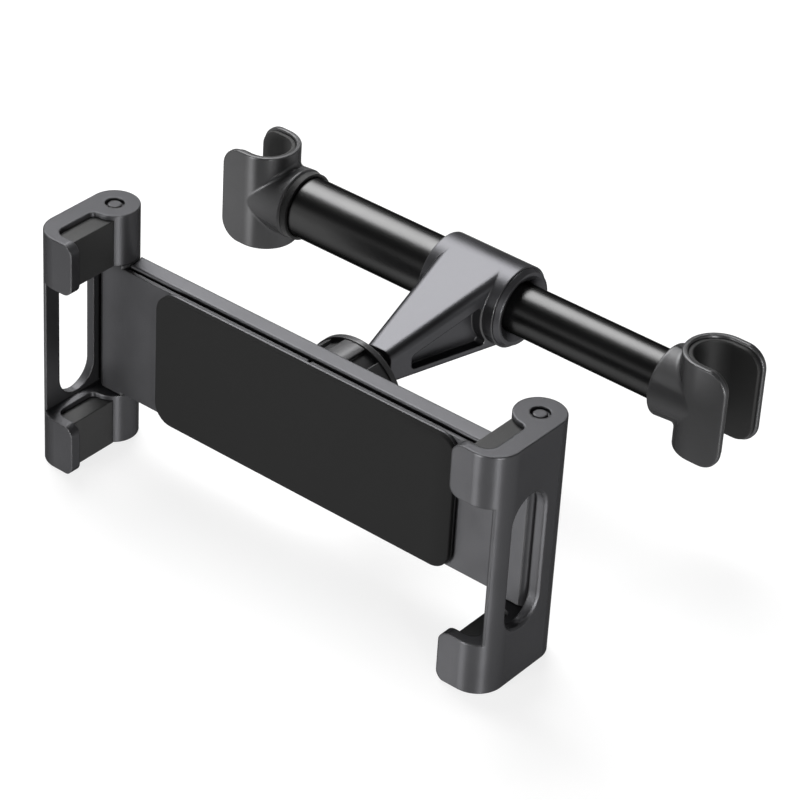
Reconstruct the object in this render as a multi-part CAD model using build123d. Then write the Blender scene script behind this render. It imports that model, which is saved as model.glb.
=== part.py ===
from build123d import *
import math
import os

# Headrest tablet mount. A sprung telescopic crossbar hooks onto the two posts of a
# car headrest. The arm on its hub ends in a ball, and the ball carries a holder whose
# two clamps slide apart together and grip a tablet.
# Frame: the origin is on the left post's axis, at the height of the crossbar's axis.
# +X runs to the right post, +Y to the headrest, +Z up. All sizes are in millimetres.

# Fits and small gaps
slide_fit = 0.05        # radial gap of a part that turns or slides in its seat
seat_gap = 0.3          # gap between faces of different moving bodies
edge_round = 0.4        # small round on moulded edges

# Headrest posts and hooks
post_pitch = 164.0      # distance between the posts with the crossbar fully out
post_bore_r = 7.0       # rubber liner's inner radius, for a 14 mm post
liner_wall = 1.45
hook_wall = 1.7
hook_height = 31.4
left_reach = 8.7        # straight arms beyond the post's axis
right_reach = 9.8
hook_corner_r = 6.5     # rounding of the arms' free corners
rim_step = 0.8          # how far the liner lies below the hook's rim
rim_round = 0.5
liner_round = 0.3
boss_r = 11.0
boss_root_r = 10.0      # boss's radius at the post's axis
saddle_round = 1.5      # fillet where the boss meets the hook
left_boss_reach = 14.2  # post axis to the end of the boss
right_boss_reach = 15.3
boss_round = 0.9
hook_r = post_bore_r + liner_wall + hook_wall

# Crossbar tubes
outer_tube_r = 9.5
outer_tube_wall = 1.5
inner_tube_r = 7.7
inner_tube_wall = 1.2
crossbar_travel = 30.0  # how far the right hook slides in
plug_collar = 3.0       # guide collar on the inner tube's end
plug_stem = 6.0
ring_width = 2.3        # dark ring between the left boss and the tube
ring_r = 10.5
left_spigot = 5.0       # length of the left hook's spigot in the outer tube
right_spigot = 10.0
outer_bore_r = outer_tube_r - outer_tube_wall
inner_bore_r = inner_tube_r - inner_tube_wall

# Hub and arm
hub_r = 12.6
hub_left = 13.3         # hub's left end from the mount's middle
hub_right = 13.8
bush_flange = 1.8       # bush's visible length past the hub
bush_chamfer = 0.9
bush_dish_r = 10.3      # conical dish in the bush's face
bush_dish = 2.0
bush_spigot = 5.0
arm_length = 46.3       # crossbar axis to the arm's tip
arm_tip_top = 1.6
arm_tip_bottom = -8.4
arm_tip_half = 4.7
arm_root_half = 12.2
arm_top_round = 3.0
arm_low_round = 1.4
pocket_depth = 3.2      # hollow in each side of the arm
pocket_root_round = 1.2
pocket_tip_round = 1.6
pocket_hub_rim = 0.4    # wall left between hub and pocket
pocket_top_rim = 5.6    # height of arm left above the pocket
pocket_low_rim = 2.4    # height of arm left below the pocket
pocket_tip_rim = 7.8    # length of arm left between the pocket and the tip

# Holder's place
holder_reach = 73.6     # crossbar axis to the clamps' hinge pins, along Y
holder_drop = 9.3       # crossbar axis to the holder's middle, along Z
mount_x = post_pitch / 2

# Ball joint, measured back from the hinge pins' plane
ball_r = 6.5
ball_back = 12.1
ball_up = 1.8
neck_r = 3.1
neck_tip_r = 4.0
shank_r = 2.4
shank_length = 8.0
socket_liner_wall = 0.9
liner_front = 5.4       # liner's front end from the ball's centre
liner_back = 3.0        # how far liner and socket reach past the ball's equator
socket_r = 10.2
socket_back = 3.4
socket_chamfer = 1.0
socket_slot = 1.2
socket_slot_root = -1.0  # slots' inner ends from the ball's centre
socket_slots = 6
seat_ring_wall = 1.9
seat_ring_height = 1.2
nut_front = 6.6
nut_back = 18.5
nut_core_r = 14.7
nut_lug_r = 16.0
nut_flange_r = 16.4
nut_flange = 1.9
nut_opening_r = 8.9
nut_mouth_r = 10.6      # opening's radius at the back face, where the neck tilts
nut_back_wall = 2.6
nut_lugs = 8
nut_lug_angle = 26.0
nut_lug_start = 1.2     # lugs' front ends behind the nut's front face
nut_chamfer = 0.8

# Clamps
pin_pitch = 150.5       # distance between the two hinge pins, closed
clamp_half = 38.45      # half the clamp's height
clamp_depth = 26.2      # hinge pin to the lip's front face
barrel_r = 7.35
clamp_corner_r = 8.4
hook_zone = 22.2        # height from the middle at which the hooks start
hook_side = 6.1         # side wall's thickness at the hooks
thin_side = 3.2         # side wall's thickness between the hooks
thin_edge = 0.9         # flat on the thin wall's front edge
thin_end_angle = 76.0   # how far the thin wall follows the barrel round
lip = 3.3
lip_reach = 8.3         # hinge pin to the lip's tip
lip_corner_r = 3.2
lip_cut = 0.5           # how far the corner's cutter runs past the lip
inner_corner_r = 3.4
neck_fillet = 2.0
insert_face = 4.9       # hinge pin to the rubber insert's face
insert_drop = 1.4       # insert lies this far below the hook's top
slot_middle = 11.2      # hinge pin to the side slot's middle
slot_width = 14.0
slot_height = 42.6
slot_bevel = 0.7
pin_r = 2.0
pin_recess_r = 2.8
pin_recess = 1.1
pin_below = 0.25        # pin's end below the clamp's top
pin_chamfer = 0.25

# Arm plates
arm_travel = 45.0
plate = 1.2
plate_front = 3.8       # hinge pin plane to the plate's front face
plate_half = 21.1
plate_inner = 0.5       # plate's inner end from the holder's middle
knuckle_r = 3.8
knuckle_half = 21.9
knuckle_start = 1.0     # how far the full-size part of the knuckle starts outside the pin

# Housing
rail_half = 21.9
rail_front = -1.5
rail_back = 4.2
rail_wall = 1.6
rail_floor = 1.5
rail_end_gap = 0.5
rail_end_wall = 3.5
rail_round = 0.6
guide_rib = 1.1
guide_front = 0.2
post_half = 4.4
post_height = 3.4
gusset = 1.6
gusset_reach = 9.0

# Cover plate and pad
pad_half_x = 53.5
pad_half_z = 21.6
pad_corner_r = 6.0
cover = 0.95
cover_gap = 0.15
pad = 1.45
screw_z = 16.9
screw_r = 1.0
screw_head_r = 2.0
screw_head = 0.6
screw_length = 5.0

# Pinion, racks and springs
module_mm = 1.0
pinion_teeth = 10
pressure_angle = 20.0
tooth_out = 0.55        # tooth tip beyond the pitch line
tooth_in = 0.85
backlash = 0.16
pinion_front = -1.6
pinion_back = 1.9
axle_r = 1.5
axle_end = 0.3          # axle's length in front of the pinion
axle_seat = 0.9         # axle's depth in the channel's floor
axle_boss_wall = 1.2
rack_back = 2.3
rack_top = 9.6
rack_gap = 0.3
rack_foot = 6.0         # foot's inner end from the middle
rack_overrun = 3.0      # rack's length past the pinion's middle with the arms fully out
spring_z = 13.2
spring_r = 1.6
spring_wire = 0.5       # wire of both kinds of spring
spring_end = 34.0       # spring's anchor on the housing, from the middle
tab_x = 9.0             # spring's tab on the arm plate, from the middle
tab = 1.6
coil_solid = 8.0        # crossbar spring's length when fully pressed
coil_gap = 0.3

pin_x = pin_pitch / 2
pitch_r = module_mm * pinion_teeth / 2
plate_rear = -plate_front + plate
cover_rear = -plate_front - cover_gap
cover_front = cover_rear - cover
pad_front = cover_front - pad
floor_front = rail_back - rail_floor
axle_back = floor_front + axle_seat
rail_hollow = pin_x - barrel_r - rail_end_gap - rail_end_wall
holder_place = Pos(mount_x, -holder_reach, -holder_drop)
ball_place = holder_place * Pos(0, ball_back, ball_up)


def along_y(shape):
    """Turn a shape built along Z so that its top faces +Y."""
    return Rot(-90, 0, 0) * shape


def along_x(shape):
    """Turn a shape built along Z so that its top faces +X."""
    return Rot(0, 90, 0) * shape


def block(x0, x1, y0, y1, z0, z1):
    """Box between two opposite corners."""
    return Pos((x0 + x1) / 2, (y0 + y1) / 2, (z0 + z1) / 2) * Box(x1 - x0, y1 - y0, z1 - z0)


def rod_x(radius, x0, x1):
    """Cylinder along X."""
    return Pos((x0 + x1) / 2, 0, 0) * along_x(Cylinder(radius, x1 - x0))


def rod_y(radius, y0, y1):
    """Cylinder along Y."""
    return Pos(0, (y0 + y1) / 2, 0) * along_y(Cylinder(radius, y1 - y0))


def tube_x(outer, inner, x0, x1):
    """Hollow cylinder along X."""
    return rod_x(outer, x0, x1) - rod_x(inner, x0 - 1, x1 + 1)


# Hooks on the headrest posts

def yoke(inner_r, outer_r, reach, height, corner_r, round_r):
    """C-shaped strip round the post's axis, open to -X, with rounded free corners and rim."""
    outer = Circle(outer_r) + Pos(-reach / 2, 0) * Rectangle(reach, 2 * outer_r)
    inner = Circle(inner_r) + Pos(-reach / 2 - 1, 0) * Rectangle(reach + 2, 2 * inner_r)
    strip = extrude(outer - inner, amount=height / 2, both=True)
    side = Pos((outer_r - reach) / 2, 0) * Rectangle(outer_r + reach, height)
    side = fillet(side.vertices().group_by(Axis.X)[0], corner_r)
    side = Rot(90, 0, 0) * side
    strip = strip & extrude(side, amount=outer_r, both=True)
    return fillet(strip.edges(), round_r)


def hook(reach, boss_reach, tube_bore_r, spigot):
    """Moulded hook with its boss and the spigot that fits in a tube."""
    seat_r = post_bore_r + liner_wall
    body = yoke(seat_r, hook_r, reach, hook_height, hook_corner_r, rim_round)
    boss = Pos(boss_reach / 2, 0, 0) * along_x(Cone(boss_root_r, boss_r, boss_reach))
    boss = fillet(boss.edges().filter_by(GeomType.CIRCLE).sort_by(Axis.X)[-1], boss_round)
    boss = boss - Cylinder(hook_r - hook_wall / 2, hook_height)
    joined = body + boss
    body = fillet(new_edges(body, boss, combined=joined), saddle_round)
    return body + rod_x(tube_bore_r - slide_fit, boss_reach - boss_round, boss_reach + spigot)


def hook_liner(reach):
    """Rubber liner inside a hook, lower than the hook's rim all round."""
    liner_r = post_bore_r + liner_wall
    height = hook_height - 2 * rim_step
    corner_r = hook_corner_r - rim_step
    return yoke(post_bore_r, liner_r, reach - rim_step, height, corner_r, liner_round)


def at_right_post(shape):
    """Mirror a shape of the left hook and carry it to the right post."""
    return Pos(post_pitch, 0, 0) * mirror(shape, about=Plane.YZ)


# Crossbar

tube_end = mount_x + hub_right - bush_spigot
spring_start = left_boss_reach + left_spigot
plug_left = spring_start + coil_solid + crossbar_travel
inner_tube_left = plug_left + plug_collar


def outer_tube():
    return tube_x(outer_tube_r, outer_bore_r, left_boss_reach, tube_end)


def collar_ring():
    end = left_boss_reach + ring_width
    return tube_x(ring_r, outer_tube_r + slide_fit, left_boss_reach, end)


def inner_tube():
    return tube_x(inner_tube_r, inner_bore_r, inner_tube_left, post_pitch - right_boss_reach)


def guide_plug():
    """Plug on the inner tube's end: a collar that slides in the outer tube, and a stem."""
    collar = rod_x(outer_bore_r - slide_fit, plug_left, inner_tube_left)
    return collar + rod_x(inner_bore_r - slide_fit, plug_left, inner_tube_left + plug_stem)


def crossbar_spring():
    """Compression spring between the left hook's spigot and the guide plug, turns left plain."""
    coil_r = outer_bore_r - coil_gap
    return tube_x(coil_r, coil_r - spring_wire, spring_start, plug_left)


def hub_end_bush():
    """Bush in the hub's right end. The thin tube runs in it."""
    left = tube_end
    face = mount_x + hub_right
    flange = rod_x(hub_r - bush_chamfer / 2, face, face + bush_flange)
    rim = flange.edges().filter_by(GeomType.CIRCLE).sort_by(Axis.X)[-1]
    flange = chamfer(rim, bush_flange - 0.2, bush_chamfer)
    body = rod_x(outer_tube_r, left, face) + flange
    bore_r = inner_tube_r + slide_fit
    dish = along_x(Cone(bore_r, bush_dish_r, bush_dish))
    dish = Pos(face + bush_flange - bush_dish / 2, 0, 0) * dish
    return body - rod_x(bore_r, left - 1, face + bush_flange + 1) - dish


def tangent_point(y, z, side):
    """Point where the line from (y, z) touches the hub, above for side 1, below for -1."""
    distance = math.hypot(y, z)
    turn = math.acos(hub_r / distance)
    angle = math.atan2(z, y) - side * turn
    return hub_r * math.cos(angle), hub_r * math.sin(angle)


def arm_plan(inset):
    """Tapering plan of the arm, narrower by the inset on each side."""
    root, tip = arm_root_half - inset, arm_tip_half - inset
    far = -arm_length - inset
    return make_face(Polyline((-root, 0), (-tip, far), (tip, far), (root, 0), close=True))


def in_yz(face):
    """Turn a face drawn as (y, z) in the XY plane so that it stands in the YZ plane."""
    return Plane(origin=(0, 0, 0), x_dir=(0, 1, 0), z_dir=(1, 0, 0)) * face


def arm_sides():
    """Corners of the arm's side view: on the hub and at the tip, above and below."""
    top = tangent_point(-arm_length, arm_tip_top, 1)
    low = tangent_point(-arm_length, arm_tip_bottom, -1)
    return top, (-arm_length, arm_tip_top), (-arm_length, arm_tip_bottom), low


def arm_pockets():
    """Two hollows, one in each side, with edges along the arm's and round the hub."""
    top, tip_top, tip_low, low = arm_sides()
    upper = Pos(0, -pocket_top_rim) * make_face(Polyline(
        (0, top[1]), top, tip_top, (-arm_length, 2 * arm_tip_bottom), (0, -3 * hub_r), close=True))
    lower = Pos(0, pocket_low_rim) * make_face(Polyline(
        (0, low[1]), low, tip_low, (-arm_length, 2 * hub_r), (0, 3 * hub_r), close=True))
    end = Pos(-arm_length + pocket_tip_rim, -2 * hub_r) * Rectangle(
        arm_length, 4 * hub_r, align=(Align.MIN, Align.MIN))
    outline = (upper & lower & end) - Circle(hub_r + pocket_hub_rim)
    outline = fillet(outline.vertices().group_by(Axis.X)[0], pocket_tip_round)
    outline = fillet(outline.vertices().sort_by(Axis.X)[-2:], pocket_root_round)
    hollow = extrude(in_yz(outline), amount=arm_root_half + 1, both=True)
    web = extrude(arm_plan(pocket_depth), amount=2 * hub_r, both=True)
    return hollow - web


def hub_arm():
    """Hub and arm as one moulding, bored for the tube, with pockets in the sides."""
    side = make_face(Polyline(*arm_sides(), (0, 0), close=True))
    arm = extrude(in_yz(side), amount=arm_root_half, both=True)
    arm = arm & extrude(arm_plan(0), amount=2 * hub_r, both=True)
    long_edges = arm.edges().filter_by(lambda e: e.length > 0.7 * arm_length)
    upper = long_edges.sort_by(Axis.Z)[-2:]
    arm = fillet(upper, arm_top_round)
    lower = arm.edges().filter_by(lambda e: e.length > 0.7 * arm_length).sort_by(Axis.Z)[:2]
    arm = fillet(lower, arm_low_round)
    arm = arm - arm_pockets()
    hub = rod_x(hub_r, -hub_left, hub_right)
    body = hub + arm
    body = body - rod_x(outer_tube_r + slide_fit, -hub_left - 1, hub_right + 1)
    body = Pos(mount_x, 0, 0) * body
    return body - neck_rod(shank_r + slide_fit, 0, neck_length + shank_length + seat_gap)


# Ball joint

ball_y = -holder_reach + ball_back
ball_z = -holder_drop + ball_up
tip_z = (arm_tip_top + arm_tip_bottom) / 2
neck_length = math.hypot(-arm_length - ball_y, tip_z - ball_z)
neck_slope = math.degrees(math.atan2(tip_z - ball_z, -arm_length - ball_y))


def neck_rod(radius, start, end, end_r=None):
    """Rod from the ball's centre towards the arm's tip, tapering to the end radius."""
    if end_r is None:
        rod = Cylinder(radius, end - start)
    else:
        rod = Cone(radius, end_r, end - start)
    rod = along_y(Pos(0, 0, (start + end) / 2) * rod)
    return ball_place * (Rot(neck_slope, 0, 0) * rod)


def ball_stud():
    """Ball, tapered neck and the shank that sits in the arm's tip."""
    neck = neck_rod(neck_r, 0, neck_length + neck_tip_r, neck_tip_r)
    neck = neck - Pos(mount_x, -arm_length + shank_length, 0) * Box(4 * hub_r, 2 * shank_length, 4 * hub_r)
    shank = neck_rod(shank_r, 0, neck_length + shank_length)
    return ball_place * Sphere(ball_r) + neck + shank


liner_outer_r = ball_r + slide_fit + socket_liner_wall
liner_cavity_r = liner_outer_r + slide_fit


def socket_liner():
    """Slippery ring between ball and socket, spherical inside and outside."""
    ring = Sphere(liner_outer_r) - Sphere(ball_r + slide_fit)
    keep = rod_y(liner_outer_r + 1, -liner_front, liner_back)
    return ball_place * (ring & keep)


def ball_socket():
    """Slotted cup behind the housing. The collar nut squeezes it on the ball."""
    foot = rail_back - ball_back
    cup = rod_y(socket_r, foot, socket_back)
    back_edge = cup.edges().filter_by(GeomType.CIRCLE).sort_by(Axis.Y)[-1]
    cup = chamfer(back_edge, socket_chamfer)
    cup = cup - Sphere(liner_cavity_r)
    for index in range(socket_slots // 2):
        turn = Rot(0, 180 * index / (socket_slots // 2), 0)
        cup = cup - turn * block(-socket_r - 1, socket_r + 1, socket_slot_root, socket_back + 1,
                                 -socket_slot / 2, socket_slot / 2)
    return ball_place * cup


def collar_nut():
    """Nut with raised grip lugs and a round flange at the back."""
    front = nut_front - ball_back
    back = nut_back - ball_back
    lug_back = back - nut_flange
    body = rod_y(nut_core_r, front, back) + rod_y(nut_flange_r, lug_back, back)
    far = 2 * nut_lug_r
    wide = far * math.tan(math.radians(nut_lug_angle / 2))
    wedge = make_face(Polyline((0, 0), (-wide, far), (wide, far), close=True))
    wedge = extrude(Plane.XZ * wedge, amount=far, both=True)
    lug = rod_y(nut_lug_r, front + nut_lug_start, lug_back) & wedge
    for index in range(nut_lugs):
        body = body + Rot(0, 360 * index / nut_lugs, 0) * lug
    bore_back = back - nut_back_wall
    body = body - rod_y(socket_r + slide_fit, front - 1, bore_back)
    body = body - rod_y(nut_opening_r, bore_back - 1, back + 1)
    mouth = along_y(Cone(nut_opening_r, nut_mouth_r, nut_back_wall))
    body = body - Pos(0, back - nut_back_wall / 2, 0) * mouth
    front_edge = body.edges().filter_by(GeomType.CIRCLE).group_by(Axis.Y)[0].sort_by(SortBy.RADIUS)[-1]
    return ball_place * chamfer(front_edge, nut_chamfer)


# Holder

def rounded_plate(half_x, half_z, corner_r, y0, y1):
    """Plate with rounded corners that stands in the XZ plane from y0 to y1."""
    outline = RectangleRounded(2 * half_x, 2 * half_z, corner_r)
    return Pos(0, y0, 0) * extrude(Rot(-90, 0, 0) * outline, amount=y1 - y0, dir=(0, 1, 0))


def tooth_spaces(count):
    """Spaces of a straight rack, the first one centred at x = 0, teeth pointing to -Z."""
    pitch = math.pi * module_mm
    slope = math.tan(math.radians(pressure_angle))
    half = pitch / 4 + backlash / 2
    tip_half, root_half = half + tooth_out * slope, half - (tooth_out + 0.2) * slope
    low, high = pitch_r - tooth_out - 0.5, pitch_r + tooth_out + 0.2
    low_half = half + (tooth_out + 0.5) * slope
    space = make_face(Polyline(
        (-low_half, low), (-root_half, high), (root_half, high), (low_half, low), close=True))
    space = extrude(Plane.XZ * space, amount=6, both=True)
    return [Pos(pitch * index, 0, 0) * space for index in range(count)]


def rack(reach):
    """Left arm's rack: its foot on the left plate, its teeth over the pinion's top."""
    root = rail_hollow - arm_travel - rack_gap
    bar = block(-root, reach, plate_rear + rack_gap, rack_back, pitch_r - tooth_out, rack_top)
    bar = bar + block(-root, -rack_foot, plate_rear, rack_back, pitch_r + tooth_out, rack_top)
    pitch = math.pi * module_mm
    for space in tooth_spaces(int(reach / pitch) + 2):
        bar = bar - space
    return bar - block(-root - 1, -pitch / 2, -9, 9, 0, pitch_r + tooth_out + 0.2)


def left_arm():
    """Thin plate, knuckle for the hinge pin, rack and the spring's tab in one piece."""
    sheet = block(-pin_x + pin_r, -plate_inner, -plate_front, plate_rear, -plate_half, plate_half)
    notch = Box(2 * (post_half + seat_gap), 2 * plate_front, post_height + 2 * seat_gap)
    for side in (-1, 1):
        sheet = sheet - Pos(0, -plate_front, side * screw_z) * notch
    knuckle = Cylinder(knuckle_r, 2 * knuckle_half)
    heel = Cylinder(barrel_r, 2 * knuckle_half)
    heel = heel & block(-knuckle_start, barrel_r, -plate_front, barrel_r, -knuckle_half, knuckle_half)
    knuckle = Pos(-pin_x, 0, 0) * (knuckle + heel)
    spring_tab = block(-tab_x - tab, -tab_x, plate_rear, spring_r, spring_z - spring_r, spring_z + spring_r)
    body = sheet + knuckle + rack(arm_travel + rack_overrun) + spring_tab
    return body - Pos(-pin_x, 0, 0) * Cylinder(pin_r + slide_fit, 2 * clamp_half)


def hinge_pin():
    pin = Cylinder(pin_r, 2 * (clamp_half - pin_below))
    pin = chamfer(pin.edges().filter_by(GeomType.CIRCLE), pin_chamfer)
    return Pos(-pin_x, 0, 0) * pin


def hook_plan():
    """Plan of a clamp's hook, hinge pin at the origin, outer side to -X, lip to -Y."""
    inner = -barrel_r + hook_side
    lip_back = -clamp_depth + lip
    neck_x = inner + neck_fillet
    neck_y = -math.sqrt((barrel_r + neck_fillet) ** 2 - neck_x ** 2)
    touch = math.degrees(math.atan2(neck_y, neck_x))
    outline = [
        Line((-barrel_r, 0), (-barrel_r, -clamp_depth + clamp_corner_r)),
        CenterArc((-barrel_r + clamp_corner_r, -clamp_depth + clamp_corner_r), clamp_corner_r, 180, 90),
        Line((-barrel_r + clamp_corner_r, -clamp_depth), (lip_reach, -clamp_depth)),
        Line((lip_reach, -clamp_depth), (lip_reach, lip_back)),
        Line((lip_reach, lip_back), (inner + inner_corner_r, lip_back)),
        CenterArc((inner + inner_corner_r, lip_back + inner_corner_r), inner_corner_r, 270, -90),
        Line((inner, lip_back + inner_corner_r), (inner, neck_y)),
        CenterArc((neck_x, neck_y), neck_fillet, 180, touch),
        CenterArc((0, 0), barrel_r, touch, 180 - touch),
    ]
    return make_face(outline)


def thin_plan():
    """Plan of the side wall between the hooks: flat, then round corner and barrel."""
    inner = barrel_r - thin_side
    corner = (-barrel_r + clamp_corner_r, -clamp_depth + clamp_corner_r)
    cut = math.degrees(math.acos(1 - (thin_side - thin_edge) / clamp_corner_r))
    front = corner[1] - clamp_corner_r * math.sin(math.radians(cut))
    end = math.radians(180 - thin_end_angle)
    outline = [
        Line((-barrel_r, 0), (-barrel_r, corner[1])),
        CenterArc(corner, clamp_corner_r, 180, cut),
        Line((-inner - thin_edge, front), (-inner, front)),
        Line((-inner, front), (-inner, 0)),
        CenterArc((0, 0), inner, 180, -thin_end_angle),
        Line((inner * math.cos(end), inner * math.sin(end)),
             (barrel_r * math.cos(end), barrel_r * math.sin(end))),
        CenterArc((0, 0), barrel_r, 180 - thin_end_angle, thin_end_angle),
    ]
    return make_face(outline)


def lip_corner(z, side):
    """Cutter that rounds one corner of a lip's tip, seen from the front."""
    r = lip_corner_r
    z0, z1 = sorted((z + side, z - side * r))
    corner = block(lip_reach - r, lip_reach + 1, -clamp_depth - 1, -clamp_depth + lip + lip_cut, z0, z1)
    centre = Pos(lip_reach - r, 0, z - side * r)
    return corner - centre * rod_y(r, -clamp_depth - 2, -clamp_depth + lip + 1)


def side_slot():
    """Cutter for the long hole in the side wall, flared at the outer face."""
    upright = Plane(origin=(-barrel_r, -slot_middle, 0), x_dir=(0, 1, 0), z_dir=(1, 0, 0))
    hole = SlotOverall(slot_height, slot_width, rotation=90)
    mouth = SlotOverall(slot_height + 2 * slot_bevel, slot_width + 2 * slot_bevel, rotation=90)
    flare = extrude(upright * mouth, amount=slot_bevel, taper=45)
    return extrude(upright * hole, amount=2 * thin_side, both=True) + flare


def clamp():
    """Left clamp about its hinge pin: two hooks, the thin side wall and its slot."""
    upper = Pos(0, 0, hook_zone) * extrude(hook_plan(), amount=clamp_half - hook_zone)
    upper = fillet(upper.edges().group_by(Axis.Z)[-1], edge_round)
    upper = upper - lip_corner(clamp_half, 1) - lip_corner(hook_zone, -1)
    lower = mirror(upper, about=Plane.XY)
    wall = extrude(thin_plan(), amount=hook_zone, both=True) - side_slot()
    body = upper + lower + wall
    body = body - Cylinder(pin_r + slide_fit, 2 * clamp_half + 2)
    for z in (clamp_half, -clamp_half):
        body = body - Pos(0, 0, z) * Cylinder(pin_recess_r, 2 * pin_recess)
    return body


def clamp_insert(z0, z1):
    """Rubber insert that fills a hook's mouth between the lip and the barrel."""
    filler = block(-barrel_r + hook_side, insert_face, -clamp_depth + lip, -pin_r, z0, z1)
    return filler - Pos(0, 0, z0) * extrude(hook_plan(), amount=z1 - z0)


def housing():
    """Rear channel of the holder, open to the front, with the socket's seat behind."""
    body = block(-pin_x, pin_x, rail_front, rail_back, -rail_half, rail_half)
    body = fillet(body.edges().filter_by(Axis.X), rail_round)
    inside = rail_half - rail_wall
    body = body - block(-rail_hollow, rail_hollow, rail_front - 1, floor_front, -inside, inside)
    for side in (-1, 1):
        body = body - Pos(side * pin_x, 0, 0) * Cylinder(barrel_r + rail_end_gap, 2 * clamp_half)
    for side in (-1, 1):
        z0, z1 = sorted((side * (rack_top + rack_gap), side * (rack_top + rack_gap + guide_rib)))
        body = body + block(-rail_hollow, rail_hollow, guide_front, floor_front, z0, z1)
        z0, z1 = side * screw_z - post_height / 2, side * screw_z + post_height / 2
        body = body + block(-post_half, post_half, cover_rear, floor_front, z0, z1)
        x0, x1 = sorted((side * spring_end, side * (spring_end + tab)))
        z0, z1 = side * spring_z - spring_r, side * spring_z + spring_r
        body = body + block(x0, x1, rail_front, floor_front, z0, z1)
        body = body - Pos(0, 0, side * screw_z) * rod_y(screw_r, cover_rear - 1, cover_rear + screw_length)
    body = body + rod_y(axle_r + axle_boss_wall, pinion_back + rack_gap, floor_front)
    seat = Pos(0, 0, ball_up)
    seat_top = rail_back + seat_ring_height
    ring = rod_y(socket_r + seat_ring_wall, floor_front, seat_top)
    for angle in (45, 135, 225, 315):
        rib = block(0, socket_r + gusset_reach, floor_front, seat_top, -gusset / 2, gusset / 2)
        ring = ring + Rot(0, angle, 0) * rib
    body = body + seat * ring - rod_y(axle_r, pinion_back, axle_back)
    return body - seat * rod_y(socket_r + slide_fit, rail_back, seat_top + 1)


def cover_plate():
    body = rounded_plate(pad_half_x, pad_half_z, pad_corner_r, cover_front, cover_rear)
    for side in (-1, 1):
        hole = rod_y(screw_r, cover_front - 1, cover_rear + 1)
        hole = hole + rod_y(screw_head_r, cover_front - 1, cover_front + screw_head)
        body = body - Pos(0, 0, side * screw_z) * hole
    return body


def pad_sheet():
    body = rounded_plate(pad_half_x, pad_half_z, pad_corner_r, pad_front, cover_front)
    front = body.faces().sort_by(Axis.Y)[0]
    return fillet(front.edges(), edge_round)


def cover_screws():
    screws = []
    for side in (-1, 1):
        screw = rod_y(screw_head_r, cover_front, cover_front + screw_head)
        screw = screw + rod_y(screw_r, cover_front, cover_rear + screw_length)
        screws.append(Pos(0, 0, side * screw_z) * screw)
    return screws


def pinion_axle():
    return rod_y(axle_r, pinion_front - axle_end, axle_back)


def involute(base_r, radius):
    """Polar angle, from the involute's start on the base circle, at a radius."""
    roll = math.sqrt(max((radius / base_r) ** 2 - 1, 0))
    return roll - math.atan(roll)


def pinion():
    """Small gear between the racks, with involute flanks."""
    base_r = pitch_r * math.cos(math.radians(pressure_angle))
    half = (math.pi * module_mm / 2 - backlash) / 2 / pitch_r
    shift = half + involute(base_r, pitch_r)
    tip_r, root_r = pitch_r + tooth_out, pitch_r - tooth_in
    radii = [base_r + (tip_r - base_r) * step / 3 for step in range(4)]
    points = []
    for tooth in range(pinion_teeth):
        middle = math.pi / 2 + 2 * math.pi * tooth / pinion_teeth
        low = [(root_r, -shift)] + [(r, -shift + involute(base_r, r)) for r in radii]
        high = [(r, -angle) for r, angle in reversed(low)]
        for r, angle in low + high:
            points.append((r * math.cos(middle + angle), r * math.sin(middle + angle)))
    gear = extrude(Plane.XZ * make_face(Polyline(*points, close=True)), amount=1, both=True)
    gear = extrude(gear.faces().sort_by(Axis.Y)[0], amount=pinion_back - pinion_front)
    gear = Pos(0, pinion_front - gear.bounding_box().min.Y, 0) * gear
    return gear - rod_y(axle_r + slide_fit, pinion_front - 1, pinion_back + 1)


def tension_spring():
    """Close-wound spring from the housing's anchor to the left plate's tab, turns left plain."""
    body = rod_x(spring_r, -tab_x, spring_end) - rod_x(spring_r - spring_wire, -tab_x - 1, spring_end + 1)
    return Pos(0, 0, spring_z) * body


def half_turn(shape):
    """Second of two like parts, a half turn about the holder's Y axis from the first."""
    return Rot(0, 180, 0) * shape


def across(shape):
    """Mirror image on the other side of the holder."""
    return mirror(shape, about=Plane.YZ)


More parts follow.
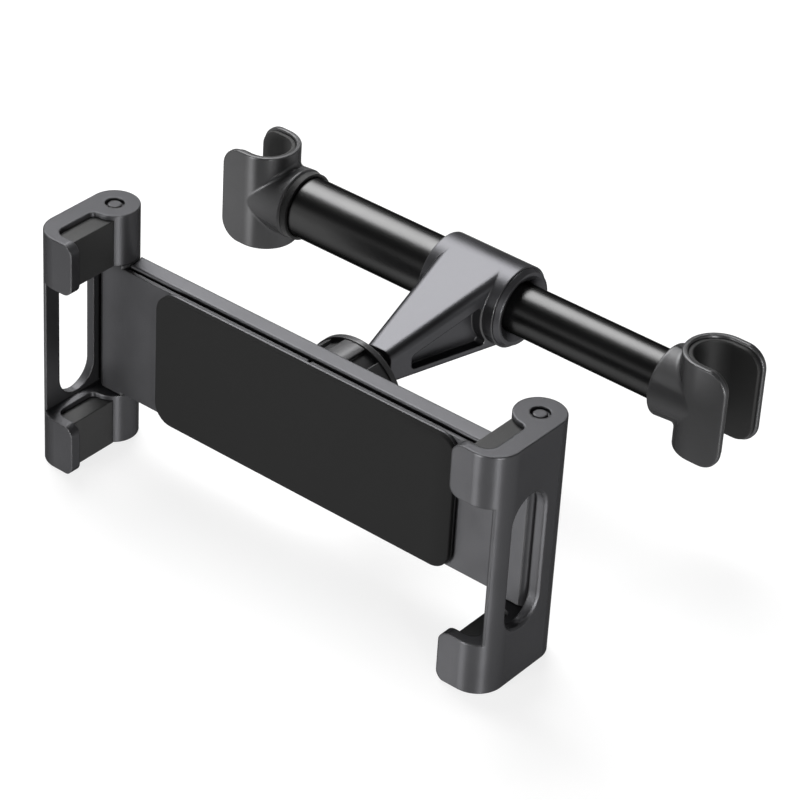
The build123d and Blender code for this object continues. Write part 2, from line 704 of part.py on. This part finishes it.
def build():
    """All sub-parts by name, in the mount's frame."""
    left_hook = hook(left_reach, left_boss_reach, outer_bore_r, left_spigot)
    right_hook = hook(right_reach, right_boss_reach, inner_bore_r, right_spigot)
    nodes = {
        "left_hook": left_hook,
        "left_hook_liner": hook_liner(left_reach),
        "left_collar_ring": collar_ring(),
        "outer_tube": outer_tube(),
        "hub_arm": hub_arm(),
        "hub_end_bush": hub_end_bush(),
        "ball_stud": ball_stud(),
        "crossbar_spring": crossbar_spring(),
        "right_hook": at_right_post(right_hook),
        "right_hook_liner": at_right_post(hook_liner(right_reach)),
        "inner_tube": inner_tube(),
        "guide_plug": guide_plug(),
        "socket_liner": socket_liner(),
        "ball_socket": ball_socket(),
        "collar_nut": collar_nut(),
    }
    arm = left_arm()
    pin = hinge_pin()
    spring = tension_spring()
    clamp_side = Pos(-pin_x, 0, 0) * clamp()
    upper = Pos(-pin_x, 0, 0) * clamp_insert(hook_zone, clamp_half - insert_drop)
    lower = Pos(-pin_x, 0, 0) * clamp_insert(-clamp_half, -hook_zone - insert_drop)
    holder = {
        "housing": housing(),
        "cover_plate": cover_plate(),
        "pad": pad_sheet(),
        "cover_screws": Compound(children=cover_screws()),
        "pinion_axle": pinion_axle(),
        "pinion": pinion(),
        "left_tension_spring": spring,
        "right_tension_spring": half_turn(spring),
        "left_arm": arm,
        "right_arm": half_turn(arm),
        "left_hinge_pin": pin,
        "right_hinge_pin": across(pin),
        "left_clamp": clamp_side,
        "right_clamp": across(clamp_side),
        "left_upper_insert": upper,
        "right_upper_insert": across(upper),
        "left_lower_insert": lower,
        "right_lower_insert": across(lower),
    }
    for name, shape in holder.items():
        nodes[name] = holder_place * shape
    return nodes


os.makedirs("parts", exist_ok=True)
for node_name, node_shape in build().items():
    export_step(node_shape, f"parts/{node_name}.step")
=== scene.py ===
import math

import bpy
from mathutils import Matrix, Vector


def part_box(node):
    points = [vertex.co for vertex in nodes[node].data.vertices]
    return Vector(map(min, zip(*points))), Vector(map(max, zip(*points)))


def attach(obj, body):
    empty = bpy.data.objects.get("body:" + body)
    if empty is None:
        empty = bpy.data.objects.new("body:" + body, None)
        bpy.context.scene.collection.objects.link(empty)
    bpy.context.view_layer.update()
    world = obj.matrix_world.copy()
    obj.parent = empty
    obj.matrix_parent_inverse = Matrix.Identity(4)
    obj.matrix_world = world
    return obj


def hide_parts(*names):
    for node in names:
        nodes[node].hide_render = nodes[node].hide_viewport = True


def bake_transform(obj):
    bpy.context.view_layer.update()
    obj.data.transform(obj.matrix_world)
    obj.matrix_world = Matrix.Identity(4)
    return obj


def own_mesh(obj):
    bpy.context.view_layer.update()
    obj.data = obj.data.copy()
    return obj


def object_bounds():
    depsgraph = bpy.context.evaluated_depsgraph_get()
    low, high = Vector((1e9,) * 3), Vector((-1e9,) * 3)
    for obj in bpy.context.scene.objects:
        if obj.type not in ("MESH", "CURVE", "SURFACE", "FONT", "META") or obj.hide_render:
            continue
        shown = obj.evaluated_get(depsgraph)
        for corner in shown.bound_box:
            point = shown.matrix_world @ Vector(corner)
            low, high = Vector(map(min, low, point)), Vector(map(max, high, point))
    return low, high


# Headrest tablet mount, dressed for a studio picture. All lengths are in metres.

# Camera at the photograph's angle
CAMERA_AT = (0.5747, -0.6813, 0.5290)
CAMERA_YAW = math.radians(37.32)
CAMERA_PITCH = math.radians(34.11)
CAMERA_ROLL = math.radians(3.53)
FOCAL_LENGTH_PX = 3443.0
PICTURE_PX = 800.0
SENSOR_MM = 36.0
CLIP_END = 50.0

# Floor
FLOOR_HALF_SIZE = 6.0
FLOOR_GAP = 0.0001      # keeps the feet clear of the floor
FLOOR_COLOUR = 0.26
FLOOR_GLOW = 0.79       # what the floor's own light adds for the camera and for reflections

# Surroundings
WORLD_LIGHT = 0.2       # strength of the surroundings as light on the object
WALLS = 1.0             # strength of the white walls that the camera and reflections see
WALL_TOP = 0.2          # sine of the height at which the walls begin to darken
CEILING_START = 0.5     # sine of the height at which the ceiling has its full darkness
CEILING = 0.03          # strength of the dark ceiling between the lamps

# Lamps round the object's middle. Azimuth 0 lies behind it, 90 to its left.
LIT_MIDDLE = Vector((0.082, -0.05, -0.01))
LAMP_DISTANCE = 1.3
LAMPS = (
    # name, azimuth and elevation in degrees, width and height, brightness
    ("back_box", 57, 50, (0.9, 0.9), 10.0),
    ("front_box", 171, 4, (0.36, 0.22), 70.0),
    ("side_box", 238, 2, (0.2, 0.16), 130.0),
)

# Wound springs
WIRE_R = 0.00025
WIRE_SIDES = 8
STEPS_PER_TURN = 20
CROSSBAR_TURNS = 16
TENSION_TURNS = 78
COIL_END_GAP = 0.00008          # between a spring's end and its seat

# What all finishes share
EDGE_RADIUS = 0.0006
BEVEL_SAMPLES = 6
GRAIN_NOISE = {"Detail": 3.0, "Roughness": 0.6}
GRAIN_DEPTH = 0.0002
GRAIN_ROUGHNESS = 0.05          # what the grain adds to the roughness
PATCH_NOISE = {"Scale": 45.0, "Detail": 4.0, "Roughness": 0.55}
PATCH_RANGE = (0.3, 0.7)        # noise over which a patch fades in
PATCH_LIGHTER = 1.18            # how much lighter a patch is than the base colour
WEAR_AND_HIGHLIGHT_RANGE = (0.35, 0.7)        # noise over which an edge's wear and painted highlight grow
EDGE_WEAR_AND_HIGHLIGHT = (0.25, 0.9)              # least and most wear and painted highlight on an edge
EDGE_COSINE = (0.995, 0.90)     # between flat and rounded normal, at an edge's rim and on it
DRAW_DIRECTION = (0.1, 0.06, 1.0)   # way in which the moulded parts' gloss is drawn out


# Small helpers

def linear(value):
    """Linear value of an 8-bit grey level, by the sRGB formula."""
    c = value / 255
    return c / 12.92 if c <= 0.04045 else ((c + 0.055) / 1.055) ** 2.4


def grey(value, blue=0.0):
    """Linear colour of an 8-bit grey level, with its blue raised by a share."""
    c = linear(value)
    return (c, c, c * (1 + blue), 1.0)


def heading(azimuth, elevation):
    """Unit vector. Azimuth 0 is +Y, a quarter turn is -X."""
    return Vector((-math.sin(azimuth) * math.cos(elevation),
                   math.cos(azimuth) * math.cos(elevation), math.sin(elevation)))


def add_object(name, data):
    made = bpy.data.objects.new(name, data)
    bpy.context.scene.collection.objects.link(made)
    return made


class Graph:
    """Short way to build the nodes of a material or a world."""

    def __init__(self, owner, output):
        owner.use_nodes = True
        self.owner = owner
        self.tree = owner.node_tree
        self.tree.nodes.clear()
        self.output = self.add(output)

    def add(self, kind, inputs=None, **settings):
        node = self.tree.nodes.new(kind)
        for key, value in settings.items():
            setattr(node, key, value)
        for key, value in (inputs or {}).items():
            socket = node.inputs[key]
            if isinstance(value, bpy.types.NodeSocket):
                self.tree.links.new(value, socket)
            else:
                socket.default_value = value
        return node

    def math(self, operation, a, b, clamp=False):
        node = self.add("ShaderNodeMath", {0: a, 1: b}, operation=operation, use_clamp=clamp)
        return node.outputs[0]

    def remap(self, value, low, high, to_low, to_high, **settings):
        node = self.add("ShaderNodeMapRange", {
            "Value": value, "From Min": low, "From Max": high,
            "To Min": to_low, "To Max": to_high}, **settings)
        return node.outputs["Result"]

    def mix_colour(self, factor, a, b):
        # Sockets 0, 6 and 7 are the factor and the two colours, output 2 is the mixed colour
        node = self.add("ShaderNodeMix", {0: factor, 6: a, 7: b}, data_type="RGBA")
        return node.outputs[2]

    def seen(self):
        """1 for what the camera sees, directly, mirrored or through a piece, and 0 for light."""
        path = self.add("ShaderNodeLightPath").outputs
        seen = self.math("MAXIMUM", path["Is Camera Ray"], path["Is Glossy Ray"])
        return self.math("MAXIMUM", seen, path["Is Transmission Ray"])

    def show(self, shader):
        self.tree.links.new(shader.outputs[0], self.output.inputs["Surface"])
        return self.owner


def material_graph(name):
    return Graph(bpy.data.materials.new(name), "ShaderNodeOutputMaterial")


# Finishes

def surface(name, base, edge, roughness, grain, bump, metallic=0.0, specular=0.5, rim=1.0,
            smudge=0.06, drawn=0.0):
    """Procedural finish: fine grain, patchy gloss, rounded edges lightened partly by wear and
    partly by a painted highlight.
    """
    g = material_graph(name)
    place = g.add("ShaderNodeTexCoord").outputs["Object"]
    fine = g.add("ShaderNodeTexNoise", {
        "Vector": place, "Scale": grain, **GRAIN_NOISE}).outputs["Fac"]
    patchy = g.add("ShaderNodeTexNoise", {"Vector": place, **PATCH_NOISE}).outputs["Fac"]
    bevel = g.add("ShaderNodeBevel", {"Radius": EDGE_RADIUS}, samples=BEVEL_SAMPLES)
    rounded = bevel.outputs["Normal"]
    relief = g.add("ShaderNodeBump", {
        "Strength": bump, "Distance": GRAIN_DEPTH, "Height": fine, "Normal": rounded})
    flat = g.add("ShaderNodeNewGeometry").outputs["Normal"]
    facing = g.add("ShaderNodeVectorMath", {0: rounded, 1: flat}, operation="DOT_PRODUCT")
    edges = g.remap(facing.outputs["Value"], *EDGE_COSINE, 0.0, 1.0)
    # Edge lightening: partly wear, partly a painted highlight along the edges.
    wear_and_highlight = g.math("MULTIPLY", edges, g.remap(patchy, *WEAR_AND_HIGHLIGHT_RANGE, *EDGE_WEAR_AND_HIGHLIGHT), clamp=True)
    lighter = tuple(c * PATCH_LIGHTER for c in base[:3]) + (1.0,)
    shade = g.mix_colour(g.remap(patchy, *PATCH_RANGE, 0.0, 1.0), base, lighter)
    gloss = g.math(
        "ADD", g.remap(patchy, *PATCH_RANGE, roughness - smudge, roughness + smudge),
        g.math("MULTIPLY", fine, GRAIN_ROUGHNESS))
    inputs = {
        "Base Color": g.mix_colour(wear_and_highlight, shade, edge), "Metallic": metallic, "Roughness": gloss,
        "Normal": relief.outputs["Normal"], "Specular IOR Level": specular,
        "Specular Tint": (rim, rim, rim, 1.0)}
    if drawn:
        upright = g.add("ShaderNodeCombineXYZ", dict(zip("XYZ", DRAW_DIRECTION)))
        inputs.update({"Anisotropic": drawn, "Tangent": upright.outputs["Vector"]})
    return g.show(g.add("ShaderNodeBsdfPrincipled", inputs))


def floor_material():
    """Pale floor that is white to the camera and to reflections, and keeps the shadow."""
    g = material_graph("floor_white")
    matte = g.add("ShaderNodeBsdfDiffuse", {"Color": (FLOOR_COLOUR, FLOOR_COLOUR, FLOOR_COLOUR, 1)})
    glow = g.add("ShaderNodeEmission", {
        "Color": (1, 1, 1, 1), "Strength": g.math("MULTIPLY", g.seen(), FLOOR_GLOW)})
    return g.show(g.add("ShaderNodeAddShader", {0: matte.outputs[0], 1: glow.outputs[0]}))


# Studio

def add_camera():
    """Camera that looks along the photograph's direction, with its small roll."""
    forward = heading(CAMERA_YAW, -CAMERA_PITCH)
    right = Vector((math.cos(CAMERA_YAW), math.sin(CAMERA_YAW), 0))
    up = right.cross(forward)
    rolled_right = math.cos(CAMERA_ROLL) * right + math.sin(CAMERA_ROLL) * up
    rolled_up = math.cos(CAMERA_ROLL) * up - math.sin(CAMERA_ROLL) * right
    data = bpy.data.cameras.new("photo_camera")
    data.sensor_width = SENSOR_MM
    data.lens = FOCAL_LENGTH_PX / PICTURE_PX * SENSOR_MM
    data.clip_end = CLIP_END
    camera = add_object("photo_camera", data)
    turn = Matrix((rolled_right, rolled_up, -forward)).transposed()
    camera.matrix_world = Matrix.Translation(CAMERA_AT) @ turn.to_4x4()
    bpy.context.scene.camera = camera


def add_floor(height):
    half = FLOOR_HALF_SIZE
    corners = [(-half, -half, 0), (half, -half, 0), (half, half, 0), (-half, half, 0)]
    mesh = bpy.data.meshes.new("floor")
    mesh.from_pydata(corners, [], [(0, 1, 2, 3)])
    mesh.materials.append(floor_material())
    floor = add_object("floor", mesh)
    floor.location = (0, 0, height)


def add_world():
    """White walls to the camera and to reflections, a dark ceiling, dim light on the object."""
    g = Graph(bpy.data.worlds.new("studio"), "ShaderNodeOutputWorld")
    direction = g.add("ShaderNodeTexCoord").outputs["Generated"]
    height = g.add("ShaderNodeSeparateXYZ", {0: direction}).outputs["Z"]
    walls = g.remap(height, WALL_TOP, CEILING_START, WALLS, CEILING,
                    interpolation_type="SMOOTHSTEP")
    strength = g.remap(g.seen(), 0.0, 1.0, WORLD_LIGHT, walls)
    bpy.context.scene.world = g.show(g.add("ShaderNodeBackground", {"Strength": strength}))


def soft_box(name, azimuth, elevation, size, brightness):
    """Area light that faces the object's middle."""
    data = bpy.data.lights.new(name, "AREA")
    data.shape = "RECTANGLE"
    data.size, data.size_y = size
    data.energy = brightness * math.pi * size[0] * size[1]
    away = heading(math.radians(azimuth), math.radians(elevation))
    lamp = add_object(name, data)
    lamp.location = LIT_MIDDLE + LAMP_DISTANCE * away
    lamp.rotation_euler = (-away).to_track_quat("-Z", "Y").to_euler()


# Springs

def coil(name, node, turns, material):
    """Wound spring in the box of a plain CAD spring, along X, which it stands for."""
    low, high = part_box(node)
    radius = (high.y - low.y) / 2 - WIRE_R
    centre = (low + high) / 2
    along = Vector((1, 0, 0))
    start = low.x + WIRE_R + COIL_END_GAP
    span = high.x - low.x - 2 * WIRE_R - 2 * COIL_END_GAP
    rings = turns * STEPS_PER_TURN + 1
    points, faces = [], []
    for ring in range(rings):
        share = ring / (rings - 1)
        turn = math.tau * turns * share
        outward = Vector((0, math.cos(turn), math.sin(turn)))
        middle = Vector((start + share * span, centre.y, centre.z)) + radius * outward
        for step in range(WIRE_SIDES):
            angle = math.tau * step / WIRE_SIDES
            points.append(middle + WIRE_R * (math.cos(angle) * outward + math.sin(angle) * along))
    for ring in range(rings - 1):
        for step in range(WIRE_SIDES):
            a = ring * WIRE_SIDES + step
            b = ring * WIRE_SIDES + (step + 1) % WIRE_SIDES
            faces.append((a, a + WIRE_SIDES, b + WIRE_SIDES, b))
    last = (rings - 1) * WIRE_SIDES
    faces.append(tuple(range(WIRE_SIDES)))
    faces.append(tuple(reversed(range(last, last + WIRE_SIDES))))
    mesh = bpy.data.meshes.new(name)
    mesh.from_pydata(points, [], faces)
    mesh.polygons.foreach_set("use_smooth", [True] * len(faces))
    mesh.materials.append(material)
    spring = add_object(name, mesh)
    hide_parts(node)
    return spring, low, high, centre


def add_springs(material):
    """Wound springs in place of the plain CAD ones: the pressed crossbar spring rides on the
    crossbar body, and the two drawn-out tension springs stay fixed in place.
    """
    spring, low, high, centre = coil(
        "crossbar_spring_coil", "crossbar_spring", CROSSBAR_TURNS, material)
    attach(spring, "crossbar")
    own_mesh(spring)
    spring, low, high, centre = coil(
        "left_tension_spring_coil", "left_tension_spring", TENSION_TURNS, material)
    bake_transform(spring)
    spring, low, high, centre = coil(
        "right_tension_spring_coil", "right_tension_spring", TENSION_TURNS, material)
    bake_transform(spring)


# The picture

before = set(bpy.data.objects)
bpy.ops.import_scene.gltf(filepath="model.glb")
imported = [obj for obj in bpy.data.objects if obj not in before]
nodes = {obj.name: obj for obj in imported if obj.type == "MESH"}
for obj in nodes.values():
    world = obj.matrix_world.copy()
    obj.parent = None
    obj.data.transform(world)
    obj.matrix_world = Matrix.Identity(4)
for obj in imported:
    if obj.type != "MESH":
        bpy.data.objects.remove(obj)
cad_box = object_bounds()

# Each finish's edge colour is lighter than its base: partly wear, partly a painted highlight along
# the edges.
moulded = surface("moulded_plastic", base=grey(70, 0.05), edge=grey(88), roughness=0.41,
                  grain=2600, bump=0.12, metallic=0.8, specular=0.3, rim=0.12, drawn=0.8)
channel = surface("channel_plastic", base=grey(76, 0.05), edge=grey(96), roughness=0.42,
                  grain=2600, bump=0.12, metallic=0.85, specular=0.3, rim=0.12)
arm_plastic = surface("arm_plastic", base=grey(76, 0.06), edge=grey(92), roughness=0.36,
                      grain=2600, bump=0.06, metallic=0.85, specular=0.3, rim=0.12,
                      smudge=0.03)
gloss = surface("gloss_plastic", base=grey(79, 0.02), edge=grey(104), roughness=0.38,
                grain=2600, bump=0.06, metallic=0.8, specular=0.3, rim=0.12, smudge=0.02,
                drawn=0.7)
tube_coat = surface("tube_coat", base=grey(66), edge=grey(96), roughness=0.28,
                    grain=1800, bump=0.02, metallic=1.0, rim=0.1, smudge=0.008)
rubber = surface("liner_rubber", base=grey(30), edge=grey(44), roughness=0.55,
                 grain=3200, bump=0.25, specular=0.25)
pad_skin = surface("pad_skin", base=grey(27), edge=grey(42), roughness=0.75,
                   grain=4200, bump=0.3, specular=0.06)
steel = surface("oiled_steel", base=grey(70), edge=grey(120), roughness=0.35,
                grain=2500, bump=0.08, metallic=0.9)
black_steel = surface("blackened_steel", base=grey(40), edge=grey(80), roughness=0.3,
                      grain=2500, bump=0.06, metallic=0.4)
slip = surface("slip_plastic", base=grey(190), edge=grey(210), roughness=0.4,
               grain=2500, bump=0.08)

FINISHES = {
    moulded: ("ball_socket", "left_arm", "right_arm", "left_clamp", "right_clamp",
              "left_hinge_pin", "right_hinge_pin"),
    channel: ("housing", "cover_plate"),
    arm_plastic: ("hub_arm", "hub_end_bush"),
    gloss: ("left_hook", "right_hook", "collar_nut"),
    tube_coat: ("outer_tube", "inner_tube"),
    rubber: ("left_hook_liner", "right_hook_liner", "left_collar_ring", "left_upper_insert",
             "right_upper_insert", "left_lower_insert", "right_lower_insert"),
    pad_skin: ("pad",),
    steel: ("cover_screws", "pinion_axle", "crossbar_spring", "left_tension_spring",
            "right_tension_spring"),
    black_steel: ("ball_stud",),
    slip: ("guide_plug", "socket_liner", "pinion"),
}
for material, names in FINISHES.items():
    for name in names:
        mesh = nodes[name].data
        mesh.materials.clear()
        mesh.materials.append(material)

add_springs(steel)
add_camera()
add_floor(cad_box[0][2] - FLOOR_GAP)
add_world()
for lamp in LAMPS:
    soft_box(*lamp)

bpy.context.scene.view_settings.view_transform = "Standard"
